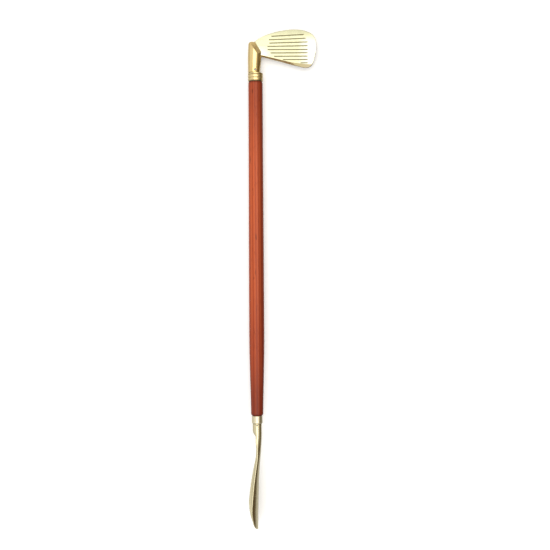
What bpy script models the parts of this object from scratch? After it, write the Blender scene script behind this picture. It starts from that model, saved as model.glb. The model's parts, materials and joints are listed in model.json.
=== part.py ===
"""A long-handled shoehorn with a golf-iron head for its handle.

Every piece is modelled with the shaft upright: local Z runs up the shaft towards the head, +X points
to the toe of the iron and -Y is the front, where the striking face looks.  The "lie_down" empty then
lays the whole shoehorn on its back on the ground plane.  It rests on the back of the iron and on the
lower rim of the shoehorn blade, so it leans by a small angle that is worked out below.
"""

import math

import bmesh
import bpy
from mathutils import Matrix

MM = 0.001
GAP = 0.3 * MM  # clearance between pieces that touch
OVERCUT = 0.5 * MM  # how far a cutter reaches past the surface that it opens

# Heights along the shaft, measured from the end of the wood that carries the head.
WOOD_LENGTH = 393.5 * MM
COLLAR_TOP = 10.2 * MM
FERRULE_LENGTH = 9.7 * MM
BLADE_LENGTH = 123.1 * MM  # neck and trough together
NECK_TOP = -WOOD_LENGTH - FERRULE_LENGTH

# Threaded joints: studs turn in brass inserts glued into the wood.
HEAD_STUD_RADIUS = 4.0 * MM
HEAD_STUD_FOOT = -15.5 * MM
HEAD_STUD_TOP = 21.0 * MM
BLADE_STUD_RADIUS = 3.0 * MM
BLADE_STUD_REACH = 12.5 * MM  # into the wood
BLADE_STUD_DEPTH = 9.0 * MM  # into the neck
INSERT_WALL = 0.9 * MM
INSERT_LENGTH = 20.0 * MM

# Outside radii.
COLLAR_RADIUS = 8.8 * MM
FERRULE_RADIUS = 6.15 * MM
NECK_RADIUS = 5.25 * MM

# Club head, heights measured from the foot of the hosel.
HOSEL_HEIGHT = 36.3 * MM
HOSEL_FOOT_RADIUS = 7.0 * MM
HOSEL_TOP_RADIUS = 8.0 * MM
HOSEL_SHIFT = -1.6 * MM  # the casting sits slightly off the stud
HOSEL_LEAN = math.radians(2.4)
FACE_FRONT = 3.5 * MM  # the face stands this far in front of the shaft axis
SOLE_BACK = 9.5 * MM  # before the resting pad is trimmed flat
EDGE_ROUND = 0.9 * MM
SEAM_TOP = (-0.1 * MM, HOSEL_HEIGHT)
SEAM_FOOT = (9.6 * MM, 20.0 * MM)
FACET_SLOPES = (19.0, 39.0)  # degrees, at the top of the seam and from its middle on
GROOVE_WIDTH = 1.2 * MM
GROOVE_DEPTH = 0.45 * MM
GROOVE_FIRST = 11.4 * MM
GROOVE_PITCH = 3.97 * MM
GROOVE_FLARE = 0.48 * MM  # added to the pitch of each row past the parallel ones
GROOVE_FAN = math.radians(0.75)
PARALLEL_ROWS = 4
GROOVE_END = 61.4 * MM
GROOVE_STARTS = [x * MM for x in (53.7, 33.0, 22.5, 18.3, 15.0, 14.8, 17.0, 16.5, 19.5)]
HOSEL_PIN_RADIUS = 0.9 * MM
HOSEL_PIN_HEIGHT = 3.1 * MM
NECK_PIN_RADIUS = 0.6 * MM
NECK_PIN_DROP = 1.7 * MM

# Shoehorn blade, distances measured down from the top of the neck.
SCOOP_START = 8.0 * MM
SCOOP_END = 25.0 * MM
WIDEST = 92.0 * MM
HALF_WIDTH = 21.0 * MM
TROUGH_DEPTH = 9.1 * MM
SHEET = 1.2 * MM
BLADE_ROLL = math.radians(5.8)  # the neck is screwed a little past square to the face

# Resting pose: the pad on the iron's back and the rim of the blade touch the ground.
PAD_DEPTH = 9.0 * MM
PAD_HEIGHT = 36.0 * MM + COLLAR_TOP
CENTRE_X = 30.621 * MM
CENTRE_Y = -232.488 * MM


def clear_scene():
    for obj in list(bpy.data.objects):
        bpy.data.objects.remove(obj, do_unlink=True)


def new_collection(name):
    collection = bpy.data.collections.new(name)
    bpy.context.scene.collection.children.link(collection)
    return collection


def new_material(name, colour, metallic, roughness):
    material = bpy.data.materials.new(name)
    material.use_nodes = True
    shader = material.node_tree.nodes["Principled BSDF"]
    shader.inputs["Base Color"].default_value = (*colour, 1.0)
    shader.inputs["Metallic"].default_value = metallic
    shader.inputs["Roughness"].default_value = roughness
    return material


def new_empty(name, collection, parent=None, height=0.0):
    empty = bpy.data.objects.new(name, None)
    collection.objects.link(empty)
    empty.parent = parent
    empty.location.z = height
    return empty


def add_object(name, mesh, collection, parent, height=0.0):
    obj = bpy.data.objects.new(name, mesh)
    collection.objects.link(obj)
    obj.parent = parent
    obj.location.z = height
    return obj


def as_cutter(obj):
    obj.hide_render = True
    obj.display_type = "WIRE"
    return obj


def finish(obj, material):
    """Gives a piece its material and smooth shading with crisp edges."""
    obj.data.materials.append(material)
    obj.data.shade_smooth()
    obj.data.set_sharp_from_angle(angle=math.radians(35))
    return obj


def boolean(obj, other, operation="DIFFERENCE"):
    cut = obj.modifiers.new(f"{operation.lower()}_{other.name}", "BOOLEAN")
    cut.operation = operation
    cut.object = other
    cut.solver = "EXACT"


def turned(name, profile, collection, parent, height=0.0, steps=32, closed=False):
    """A profile of (radius, height) points turned about Z, its outer side running top to bottom."""
    mesh = bpy.data.meshes.new(name)
    edges = [(i, i + 1) for i in range(len(profile) - 1)]
    if closed:
        edges.append((len(profile) - 1, 0))
    mesh.from_pydata([(radius, 0.0, z) for radius, z in profile], edges, [])
    obj = add_object(name, mesh, collection, parent, height)
    screw = obj.modifiers.new("turn", "SCREW")
    screw.axis = "Z"
    screw.angle = math.tau
    screw.steps = steps
    screw.render_steps = steps
    screw.use_merge_vertices = True
    screw.merge_threshold = 0.00001
    screw.use_smooth_shade = True
    return obj


def rod_profile(radius, top, foot, chamfer):
    return [
        (0.0, top),
        (radius - chamfer, top),
        (radius, top - chamfer),
        (radius, foot + chamfer),
        (radius - chamfer, foot),
        (0.0, foot),
    ]


def tube_profile(outer, inner, top, foot, chamfer):
    return [
        (inner, top),
        (outer - chamfer, top),
        (outer, top - chamfer),
        (outer, foot + chamfer),
        (outer - chamfer, foot),
        (inner, foot),
    ]


def rod_towards_front(name, radius, near, far, collection, parent, height):
    """A short rod that points to the front, from `near` to `far` ahead of the axis."""
    rod = turned(name, rod_profile(radius, far, near, 0.12 * MM), collection, parent, height, 16)
    rod.rotation_euler.x = math.radians(90)
    return rod


def loft(name, rings):
    """A closed solid through rings that hold the same number of points."""
    solid = bmesh.new()
    count = len(rings[0])
    rows = [[solid.verts.new(point) for point in ring] for ring in rings]
    for upper, lower in zip(rows, rows[1:]):
        for i in range(count):
            j = (i + 1) % count
            solid.faces.new((upper[i], upper[j], lower[j], lower[i]))
    solid.faces.new(rows[0])
    solid.faces.new(rows[-1])
    bmesh.ops.recalc_face_normals(solid, faces=solid.faces)
    mesh = bpy.data.meshes.new(name)
    solid.to_mesh(mesh)
    solid.free()
    return mesh


def smoothstep(start, end, value):
    t = min(max((value - start) / (end - start), 0.0), 1.0)
    return t * t * (3.0 - 2.0 * t)


# ------------------------------------------------------------------ wood


def wood_radius(depth):
    """The shaft swells gently along its length and then tapers to the ferrule."""
    swell = 8.45 * MM + 0.45 * MM * smoothstep(0.0, 300 * MM, depth)
    taper = 1.8 * MM * smoothstep(290 * MM, 402 * MM, depth) ** 1.3
    return swell - taper


def wood_shaft(collection, parent):
    top_bore = HEAD_STUD_RADIUS + 2 * GAP + INSERT_WALL
    low_bore = BLADE_STUD_RADIUS + 2 * GAP + INSERT_WALL
    bore_depth = INSERT_LENGTH + 0.8 * MM
    profile = [(0.0, -bore_depth), (top_bore, -bore_depth), (top_bore, 0.0)]
    profile += [(wood_radius(0.0) - inset * MM, -z * MM) for inset, z in ((1.5, 0), (0.5, 0.8), (0, 2.6))]
    profile += [(wood_radius(z * MM), -z * MM) for z in range(40, 280, 40)]
    profile += [(wood_radius(z * MM), -z * MM) for z in range(280, 391, 12)]
    foot = wood_radius(WOOD_LENGTH)
    profile += [(foot - inset * MM, -WOOD_LENGTH + z * MM) for inset, z in ((0, 2.2), (0.35, 0.8), (1.2, 0))]
    profile += [
        (low_bore, -WOOD_LENGTH),
        (low_bore, -WOOD_LENGTH + bore_depth),
        (0.0, -WOOD_LENGTH + bore_depth),
    ]
    return turned("wood_shaft", profile, collection, parent)


def upper_insert(collection, parent):
    bore = HEAD_STUD_RADIUS + GAP
    profile = tube_profile(bore + INSERT_WALL, bore, -GAP, -INSERT_LENGTH, 0.2 * MM)
    return turned("upper_insert", profile, collection, parent, closed=True)


def lower_insert(collection, parent):
    bore = BLADE_STUD_RADIUS + GAP
    profile = tube_profile(bore + INSERT_WALL, bore, INSERT_LENGTH, GAP, 0.2 * MM)
    return turned("lower_insert", profile, collection, parent, -WOOD_LENGTH, closed=True)


# ------------------------------------------------------------------ collar and ferrule


def ribbed_collar(collection, parent):
    """Three beads with narrow grooves between them."""
    bore = HEAD_STUD_RADIUS + GAP
    top = COLLAR_TOP - GAP
    grooves = [z * MM for z in (8.0, 4.3, 0.9)]
    groove_radius = COLLAR_RADIUS - 0.8 * MM
    shoulder = 0.15 * MM
    profile = [
        (bore, top),
        (COLLAR_RADIUS - 0.4 * MM, top),
        (COLLAR_RADIUS, top - 0.5 * MM),
        (COLLAR_RADIUS - shoulder, grooves[0] + 0.5 * MM),
    ]
    for high, low in zip(grooves, grooves[1:]):
        profile += [
            (groove_radius, high),
            (COLLAR_RADIUS - shoulder, high - 0.55 * MM),
            (COLLAR_RADIUS, (high + low) / 2),
            (COLLAR_RADIUS - shoulder, low + 0.55 * MM),
        ]
    profile += [(groove_radius, grooves[-1]), (COLLAR_RADIUS - 0.6 * MM, GAP), (bore, GAP)]
    return turned("ribbed_collar", profile, collection, parent, closed=True)


def lower_ferrule(collection, parent):
    bore = BLADE_STUD_RADIUS + GAP
    profile = tube_profile(FERRULE_RADIUS, bore, -GAP, -FERRULE_LENGTH + GAP, 0.35 * MM)
    return turned("lower_ferrule", profile, collection, parent, closed=True)


# ------------------------------------------------------------------ club head


def face_outline(collection, parent):
    """The outline of the iron seen from the front, as a flat curve with the full thickness of the casting."""
    curve = bpy.data.curves.new("iron_outline", "CURVE")
    curve.dimensions = "2D"
    curve.fill_mode = "BOTH"
    curve.extrude = (FACE_FRONT + SOLE_BACK) / 2
    curve.resolution_u = 6
    heel = [(7.6, 19.5), (-3.0, 22.1), (-3.0, 35.0), (-1.0, 36.5)]
    sole = [(5.0, 40.8), (16.5, 45.8), (33.0, 49.8), (48.5, 50.9), (60.0, 48.9)]
    toe = [(69.1, 43.3), (72.1, 30.3), (70.0, 17.3), (66.6, 8.9), (62.9, 6.6)]
    topline = [(48.8, 8.5), (28.9, 13.8)]
    points = heel + sole + toe + topline
    spline = curve.splines.new("BEZIER")
    spline.bezier_points.add(len(points) - 1)
    for knot, (x, z) in zip(spline.bezier_points, points):
        knot.co = (x * MM, z * MM, 0.0)
        knot.handle_left_type = "VECTOR" if (x, z) in heel else "AUTO"
        knot.handle_right_type = "VECTOR" if (x, z) in heel[:3] else "AUTO"
    spline.use_cyclic_u = True
    flat = bpy.data.objects.new("iron_outline", curve)
    collection.objects.link(flat)
    flat.parent = parent
    flat.location = (0.0, (SOLE_BACK - FACE_FRONT) / 2, COLLAR_TOP)
    flat.rotation_euler.x = math.radians(90)
    return flat


def curve_to_mesh(flat, name, collection):
    """The curve's evaluated mesh with its caps welded on, in the curve's place."""
    bpy.context.view_layer.update()
    evaluated = flat.evaluated_get(bpy.context.evaluated_depsgraph_get())
    mesh = bpy.data.meshes.new_from_object(evaluated)
    mesh.name = name
    weld = bmesh.new()
    weld.from_mesh(mesh)
    bmesh.ops.remove_doubles(weld, verts=weld.verts, dist=0.00001)
    weld.to_mesh(mesh)
    weld.free()
    obj = bpy.data.objects.new(name, mesh)
    collection.objects.link(obj)
    obj.parent = flat.parent
    obj.location = flat.location
    obj.rotation_euler = flat.rotation_euler
    bpy.data.objects.remove(flat, do_unlink=True)
    return obj


def back_relief(cutters, parent):
    """Thins the back of the casting towards the topline and leaves a thick band behind the sole."""
    thin, thick, step, clear = -0.3 * MM, 1.6 * MM, 4.5 * MM, 14.0 * MM
    section = [(thin, -25 * MM), (thick, 26 * MM), (step, 32 * MM), (clear, 35 * MM), (clear, -25 * MM)]
    rings = [[(x, y, z) for y, z in section] for x in (-8 * MM, 95 * MM)]
    relief = add_object("back_relief", loft("back_relief", rings), cutters, parent, COLLAR_TOP)
    relief.rotation_euler.y = math.radians(-2.0)
    return relief


def topline_chamfer(cutters, parent):
    """Bevels the front of the topline, narrow and steep at the heel, broad and flat at the toe.

    Each station gives x, the height at which the bevel leaves the face, and its slope in degrees.
    """
    stations = [(-1.0, 23.0, 60.0), (39.0, 13.0, 52.0), (58.0, 10.1, 42.0), (76.0, 9.2, 42.0)]
    ahead, behind = 1.0 * MM, 6.0 * MM
    rings = []
    for x, height, slope in stations:
        rise = 1.0 / math.tan(math.radians(slope))
        low = height * MM - behind * rise
        rings.append(
            [
                (x * MM, -FACE_FRONT - ahead, height * MM + ahead * rise),
                (x * MM, -FACE_FRONT + behind, low),
                (x * MM, -FACE_FRONT - ahead, low),
            ]
        )
    return add_object("topline_chamfer", loft("topline_chamfer", rings), cutters, parent, COLLAR_TOP)


def hosel(cutters, parent):
    top, foot = HOSEL_TOP_RADIUS, HOSEL_FOOT_RADIUS
    profile = [
        (0.0, HOSEL_HEIGHT),
        (top - 2.0 * MM, HOSEL_HEIGHT),
        (top - 0.6 * MM, HOSEL_HEIGHT - 0.5 * MM),
        (top, HOSEL_HEIGHT - 2.0 * MM),
        (top, 22.0 * MM),
        (top - 0.15 * MM, 16.0 * MM),
        (foot, 0.4 * MM),
        (foot - 0.3 * MM, 0.0),
        (0.0, 0.0),
    ]
    obj = turned("hosel", profile, cutters, parent, COLLAR_TOP)
    obj.location.x = HOSEL_SHIFT
    obj.rotation_euler.y = HOSEL_LEAN
    return obj


def mitre_wedge(cutters, parent):
    """Cuts the front of the hosel down along the seam, with a facet that steepens away from its top.

    It reaches a little behind the face, inside the casting, so that the facet meets the face cleanly.
    """
    gentle, steep = FACET_SLOPES
    top_x, top_z = SEAM_TOP
    foot_x, foot_z = SEAM_FOOT
    length = math.hypot(foot_x - top_x, foot_z - top_z)
    along = ((foot_x - top_x) / length, (foot_z - top_z) / length)
    inward = (along[1], -along[0])
    far = -30 * MM
    first, spacing = -0.75, 0.3  # stations as shares of the seam's length
    rings = []
    for step in range(9):
        t = first + spacing * step
        slope = math.radians(gentle + (steep - gentle) * smoothstep(-0.15, 0.45, t))
        x = top_x + along[0] * length * t
        z = top_z + along[1] * length * t
        ring = []
        for depth, reach in ((-1.0, None), (8.0, None), (8.0, far), (-1.0, far)):
            shift = depth * MM / math.tan(slope) if reach is None else reach
            ring.append((x + inward[0] * shift, -FACE_FRONT - depth * MM, z + inward[1] * shift))
        rings.append(ring)
    return add_object("mitre_wedge", loft("mitre_wedge", rings), cutters, parent, COLLAR_TOP)


def scoring(cutters, parent):
    """The grooves of the face: bars that are parallel near the topline and fan out towards the sole."""
    bars = bmesh.new()
    for row, start in enumerate(GROOVE_STARTS):
        fanned = max(0, row - PARALLEL_ROWS)
        end = GROOVE_END - 2.2 * MM * max(0, row - 6)
        made = bmesh.ops.create_cube(bars, size=1.0)["verts"]
        size = (end - start, 2 * GROOVE_DEPTH, GROOVE_WIDTH)
        bmesh.ops.scale(bars, vec=size, verts=made)
        bmesh.ops.translate(bars, vec=((start - end) / 2, 0.0, 0.0), verts=made)
        fan = Matrix.Rotation(-GROOVE_FAN * fanned, 3, "Y")
        bmesh.ops.rotate(bars, cent=(0.0, 0.0, 0.0), matrix=fan, verts=made)
        height = GROOVE_FIRST + GROOVE_PITCH * row + GROOVE_FLARE * fanned
        bmesh.ops.translate(bars, vec=(end, -FACE_FRONT, height), verts=made)
    mesh = bpy.data.meshes.new("scoring")
    bars.to_mesh(mesh)
    bars.free()
    return add_object("scoring", mesh, cutters, parent, COLLAR_TOP)


def ground_trim(cutters, lie_down, lean, axis_height):
    """A block under the ground plane, so that the pad on the iron's back lies flat."""
    thickness = 20 * MM
    mesh = bpy.data.meshes.new("ground_trim")
    cube = bmesh.new()
    bmesh.ops.create_cube(cube, size=1.0)
    bmesh.ops.scale(cube, vec=(0.2, thickness, 0.4), verts=cube.verts)
    cube.to_mesh(mesh)
    cube.free()
    block = add_object("ground_trim", mesh, cutters, lie_down)
    block.rotation_euler.x = lean
    reach = axis_height + thickness / 2
    block.location = (0.0, reach * math.cos(lean), reach * math.sin(lean))
    return block


def club_head(collection, cutters, parent, trim):
    flat = face_outline(collection, parent)
    head = curve_to_mesh(flat, "club_head", collection)
    boolean(head, as_cutter(back_relief(cutters, parent)))
    rounding = head.modifiers.new("edges", "BEVEL")
    rounding.width = EDGE_ROUND
    rounding.segments = 2
    rounding.limit_method = "ANGLE"
    rounding.angle_limit = math.radians(50)
    boolean(head, as_cutter(topline_chamfer(cutters, parent)))
    socket = as_cutter(hosel(cutters, parent))
    boolean(socket, as_cutter(mitre_wedge(cutters, parent)))
    boolean(head, socket, "UNION")
    boolean(head, as_cutter(scoring(cutters, parent)))
    bore = rod_profile(HEAD_STUD_RADIUS + GAP, HEAD_STUD_TOP + GAP, COLLAR_TOP - OVERCUT, 0.0)
    boolean(head, as_cutter(turned("head_bore", bore, cutters, parent)))
    hole = rod_towards_front(
        "hosel_pin_hole",
        HOSEL_PIN_RADIUS + GAP,
        HEAD_STUD_RADIUS - OVERCUT,
        HOSEL_TOP_RADIUS,
        cutters,
        parent,
        COLLAR_TOP + HOSEL_PIN_HEIGHT,
    )
    boolean(head, as_cutter(hole))
    boolean(head, as_cutter(trim))
    return head


def head_stud(collection, parent):
    profile = rod_profile(HEAD_STUD_RADIUS, HEAD_STUD_TOP, HEAD_STUD_FOOT, 0.6 * MM)
    return turned("head_stud", profile, collection, parent)


def hosel_pin(collection, parent):
    near = HEAD_STUD_RADIUS + GAP
    far = HOSEL_FOOT_RADIUS
    height = COLLAR_TOP + HOSEL_PIN_HEIGHT
    return rod_towards_front("hosel_pin", HOSEL_PIN_RADIUS, near, far, collection, parent, height)


# ------------------------------------------------------------------ shoehorn blade


def trough_section(drop):
    """Spine position, depth and half-width of the trough at a distance below the top of the neck."""
    spine = NECK_RADIUS - 3.65 * MM * smoothstep(10 * MM, 72 * MM, drop)
    spine -= 0.95 * MM * smoothstep(60 * MM, 110 * MM, drop)
    depth = 6.7 * MM - 2.9 * MM * smoothstep(17 * MM, 42 * MM, drop)
    depth += (TROUGH_DEPTH - 3.8 * MM) * smoothstep(28 * MM, 102 * MM, drop)
    half = 5.05 * MM + (HALF_WIDTH - 5.05 * MM) * smoothstep(8 * MM, 104 * MM, drop)
    if drop > WIDEST:
        fade = math.sqrt(1.0 - min((drop - WIDEST) / (BLADE_LENGTH + 0.02 * MM - WIDEST), 1.0) ** 2)
        half *= fade
        depth *= fade
    return spine, depth, half


def resting_lean():
    """The angle at which the ground touches both the pad of the iron and the lower rim of the blade."""
    lean = 0.0
    for step in range(200):
        drop = BLADE_LENGTH * step / 200
        spine, depth, half = trough_section(drop)
        rim = (spine - depth) * math.sin(BLADE_ROLL) + half * math.cos(BLADE_ROLL)
        run = PAD_HEIGHT - NECK_TOP + drop
        lean = max(lean, math.atan2(rim - PAD_DEPTH, run))
    return lean


def blade_ring(drop, columns):
    """One closed ring: the outside of the trough, then back along its inside.

    Near the neck the inside moves out to the front of a full circle, which leaves a round neck and a
    scoop that runs into the trough.
    """
    spine, depth, half = trough_section(drop)
    radius = (half * half + depth * depth) / (2.0 * depth)
    opening = math.atan2(half, radius - depth)
    scoop = smoothstep(SCOOP_START, SCOOP_END, drop)
    outer, inner = [], []
    for i in range(columns + 1):
        share = 2.0 * i / columns - 1.0
        angle = share * opening
        outer.append((spine - radius + radius * math.cos(angle), radius * math.sin(angle), -drop))
        thin = min(SHEET, radius * 0.8)
        trough_x = spine - radius + (radius - thin) * math.cos(angle)
        trough_y = (radius - thin) * math.sin(angle)
        front = math.pi - share * (math.pi - opening)
        neck_x = spine - radius + radius * math.cos(front) * 0.998
        neck_y = radius * math.sin(front) * 0.998
        inner.append((neck_x + (trough_x - neck_x) * scoop, neck_y + (trough_y - neck_y) * scoop, -drop))
    return outer + inner[::-1]


def shoehorn_blade(collection, cutters, parent):
    drops = [0.0, 0.35 * MM]
    drops += [SCOOP_START + 2.2 * MM * i for i in range(9)]
    drops += [SCOOP_END + 6.2 * MM * (i + 1) for i in range(11)]
    tail = BLADE_LENGTH - WIDEST
    drops += [WIDEST + tail * math.sin(math.radians(9 * i)) for i in range(1, 10)]
    rings = [blade_ring(drop, 12) for drop in drops + [BLADE_LENGTH]]
    mesh = loft("shoehorn_blade", rings)
    mesh.transform(Matrix.Rotation(BLADE_ROLL, 4, "Z"))
    blade = add_object("shoehorn_blade", mesh, collection, parent, NECK_TOP)
    bore = rod_profile(BLADE_STUD_RADIUS + GAP, OVERCUT, -BLADE_STUD_DEPTH - GAP, 0.0)
    boolean(blade, as_cutter(turned("neck_bore", bore, cutters, parent, NECK_TOP)))
    hole = rod_towards_front(
        "neck_pin_hole",
        NECK_PIN_RADIUS + GAP,
        BLADE_STUD_RADIUS - OVERCUT,
        NECK_RADIUS + OVERCUT,
        cutters,
        parent,
        NECK_TOP - NECK_PIN_DROP,
    )
    boolean(blade, as_cutter(hole))
    return blade


def blade_stud(collection, parent):
    profile = rod_profile(BLADE_STUD_RADIUS, FERRULE_LENGTH + BLADE_STUD_REACH, -BLADE_STUD_DEPTH, 0.5 * MM)
    return turned("blade_stud", profile, collection, parent, NECK_TOP)


def neck_pin(collection, parent):
    near = BLADE_STUD_RADIUS + GAP
    height = NECK_TOP - NECK_PIN_DROP
    return rod_towards_front("neck_pin", NECK_PIN_RADIUS, near, NECK_RADIUS, collection, parent, height)


# ------------------------------------------------------------------ assembly


def main():
    clear_scene()
    pieces = new_collection("golf_iron_shoehorn")
    cutters = new_collection("cutters")

    brass = new_material("polished_brass", (0.80, 0.62, 0.30), 1.0, 0.22)
    worn_brass = new_material("turned_brass", (0.76, 0.60, 0.33), 1.0, 0.28)
    steel = new_material("threaded_steel", (0.55, 0.55, 0.57), 1.0, 0.35)
    wood = new_material("lacquered_wood", (0.36, 0.07, 0.02), 0.0, 0.30)

    lean = resting_lean()
    axis_height = PAD_DEPTH * math.cos(lean) + PAD_HEIGHT * math.sin(lean)
    lie_down = new_empty("lie_down", pieces)
    lie_down.rotation_euler.x = -math.pi / 2 - lean
    lie_down.location = (-CENTRE_X, -CENTRE_Y, axis_height)
    trim = ground_trim(cutters, lie_down, lean, axis_height)
    collar_lift = new_empty("collar_lift", pieces, lie_down)
    head_turn = new_empty("head_turn", pieces, collar_lift)
    ferrule_lift = new_empty("ferrule_lift", pieces, lie_down, -WOOD_LENGTH)
    blade_turn = new_empty("blade_turn", pieces, ferrule_lift, WOOD_LENGTH)

    finish(wood_shaft(pieces, lie_down), wood)
    finish(upper_insert(pieces, lie_down), worn_brass)
    finish(lower_insert(pieces, lie_down), worn_brass)
    finish(ribbed_collar(pieces, collar_lift), worn_brass)
    finish(club_head(pieces, cutters, head_turn, trim), brass)
    finish(head_stud(pieces, head_turn), steel)
    finish(hosel_pin(pieces, head_turn), steel)
    finish(lower_ferrule(pieces, ferrule_lift), worn_brass)
    finish(shoehorn_blade(pieces, cutters, blade_turn), brass)
    finish(blade_stud(pieces, blade_turn), steel)
    finish(neck_pin(pieces, blade_turn), steel)


main()
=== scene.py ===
"""Looks of the golf-iron shoehorn: fine meshes, procedural materials, floor, light and camera.

Shapes are made in the shoehorn's own upright frame (Z up the shaft, +X to the toe, -Y to the front)
and carried into the row frame by LAY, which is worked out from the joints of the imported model.
"""

import json
import math

import bmesh
import bpy
from mathutils import Matrix, Vector


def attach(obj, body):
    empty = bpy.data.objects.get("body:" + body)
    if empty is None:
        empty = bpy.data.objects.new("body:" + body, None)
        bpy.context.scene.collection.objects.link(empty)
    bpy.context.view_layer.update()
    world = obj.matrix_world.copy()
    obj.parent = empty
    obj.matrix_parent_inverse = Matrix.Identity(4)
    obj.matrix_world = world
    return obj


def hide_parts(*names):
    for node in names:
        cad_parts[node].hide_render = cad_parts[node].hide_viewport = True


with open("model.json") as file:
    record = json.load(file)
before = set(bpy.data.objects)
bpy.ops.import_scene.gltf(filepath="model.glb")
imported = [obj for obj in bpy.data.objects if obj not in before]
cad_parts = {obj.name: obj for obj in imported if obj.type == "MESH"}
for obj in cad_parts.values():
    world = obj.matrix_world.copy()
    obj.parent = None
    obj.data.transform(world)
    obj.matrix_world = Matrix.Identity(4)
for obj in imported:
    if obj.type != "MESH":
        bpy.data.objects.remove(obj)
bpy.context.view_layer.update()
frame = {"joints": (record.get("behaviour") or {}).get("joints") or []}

FULL_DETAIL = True
MM = 0.001
GAP = 0.3 * MM  # clearance between pieces that touch
OVERCUT = 1.0 * MM  # how far a cutter reaches past the surface that it opens
BORE_EDGE = 0.2 * MM  # chamfer at the mouth of a turned bore

# Heights along the shaft from the seam between wood and collar, as in the CAD source.
COLLAR_TOP = 10.2 * MM
WOOD_LENGTH = 393.5 * MM
FERRULE_LENGTH = 9.7 * MM
BLADE_LENGTH = 123.1 * MM  # neck and trough together
NECK_TOP = -WOOD_LENGTH - FERRULE_LENGTH

# Threaded joints: an M8 stud at the head and an M6 stud at the blade, each in a brass insert.
HEAD_STUD_RADIUS = 4.0 * MM
HEAD_STUD_FOOT = -15.5 * MM
HEAD_STUD_TOP = 21.0 * MM
HEAD_BORE_DEPTH = 11.5 * MM  # into the hosel
HEAD_PITCH = 1.25 * MM  # of the thread
BLADE_STUD_RADIUS = 3.0 * MM
BLADE_STUD_REACH = 12.5 * MM  # into the wood
BLADE_STUD_DEPTH = 9.0 * MM  # into the neck
BLADE_PITCH = 1.0 * MM
INSERT_WALL = 0.9 * MM
INSERT_LENGTH = 20.0 * MM
ROWS_PER_TURN = 8
THREAD_COLUMNS = 48
THREAD_CREASE = 50.0  # degrees

# Outside radii.
COLLAR_RADIUS = 8.8 * MM
COLLAR_GROOVES = [z * MM for z in (8.0, 4.3, 0.9)]
COLLAR_GROOVE_DEPTH = 0.75 * MM
FERRULE_RADIUS = 6.15 * MM
NECK_RADIUS = 5.25 * MM

# Club head, heights measured from the foot of the hosel.
HOSEL_HEIGHT = 36.3 * MM
HOSEL_FOOT_RADIUS = 7.0 * MM
HOSEL_TOP_RADIUS = 8.0 * MM
HOSEL_SHIFT = -1.6 * MM  # the casting sits slightly off the stud
HOSEL_LEAN = math.radians(2.4)
FACE_FRONT = 3.5 * MM  # the face stands this far in front of the shaft axis
SOLE_BACK = 9.5 * MM
EDGE_ROUND = 0.9 * MM
SEAM_TOP = (-0.1 * MM, HOSEL_HEIGHT)
SEAM_FOOT = (9.6 * MM, 20.0 * MM)
FACET_SLOPES = (19.0, 39.0)  # degrees, at the top of the seam and from its middle on
GROOVE_WIDTH = 1.2 * MM
GROOVE_DEPTH = 0.45 * MM
GROOVE_FIRST = 11.4 * MM
GROOVE_PITCH = 3.97 * MM
GROOVE_FLARE = 0.48 * MM  # added to the pitch of each row past the parallel ones
GROOVE_FAN = math.radians(0.75)
PARALLEL_ROWS = 4
GROOVE_END = 61.4 * MM
GROOVE_STARTS = [x * MM for x in (53.7, 33.0, 22.5, 18.3, 15.0, 14.8, 17.0, 16.5, 19.5)]
HOSEL_PIN_RADIUS = 0.9 * MM
HOSEL_PIN_HEIGHT = 3.1 * MM
NECK_PIN_RADIUS = 0.6 * MM
NECK_PIN_DROP = 1.7 * MM

# Shoehorn blade, distances measured down from the top of the neck.
SCOOP_START = 8.0 * MM
SCOOP_END = 25.0 * MM
WIDEST = 92.0 * MM
HALF_WIDTH = 21.0 * MM
TROUGH_DEPTH = 9.1 * MM
SHEET = 1.2 * MM
BLADE_ROLL = math.radians(5.8)  # the neck is screwed a little past square to the face
BLADE_CREASE = 40.0  # degrees
NECK_EDGE = [(0.0, 0.30), (0.12, 0.14), (0.3, 0.03), (0.6, 0.0)]  # drop and inset in mm

# Finish of the iron: where the normal's y turns from face to chamfer and from chamfer to side, and
# how far the painted shade of a groove spreads from its middle.
CHAMFER_TILT = (-0.95, -0.80)
SIDE_TILT = (-0.70, -0.45)
GROOVE_SHADE_SPREAD = (0.35 * MM, 0.80 * MM)
SATIN = (0.60, 0.585, 0.375)
# paler tone of the face at the toe and at the heel's topline
SATIN_PALE = (0.72, 0.71, 0.56)
# colour of the painted shade in the grooves
GROOVE_SHADE = (0.17, 0.145, 0.075)

# Studio: the floor's glow, its bounce colour left and right of the shaft and where it fades in x,
# two light panels as (name, x, y, width, length, radiance), and the sky's levels from left to right.
FLOOR_HALF = 4.0
FLOOR_DROP = 0.1 * MM
FLOOR_GLOW = 0.20
FLOOR_BOUNCE = ((0.60, 0.60, 0.59), (0.10, 0.075, 0.045))
BOUNCE_FADE = (-0.008, 0.030)
SOFTBOX_HEIGHT = 1.6
SOFTBOX_COLOUR = (1.0, 0.99, 0.965)
SOFTBOXES = [
    ("head_panel", 0.08, 0.42, 1.78, 1.06, 1.45),
    ("blade_panel", 0.02, -0.63, 1.46, 1.04, 1.24),
]
SKY = [(0.0, 0.95), (0.50, 0.95), (0.72, 0.75), (0.84, 0.60), (0.94, 0.28), (1.0, 0.17)]
CAMERA_DISTANCE = 1.10
CAMERA_OFFSET = (21.84 * MM, -228.72 * MM)  # from the seam between wood and collar
CAMERA_TURN = -0.0056  # radians
VIEW_WIDTH = 0.6511
SENSOR_WIDTH = 36.0  # in mm

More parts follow.
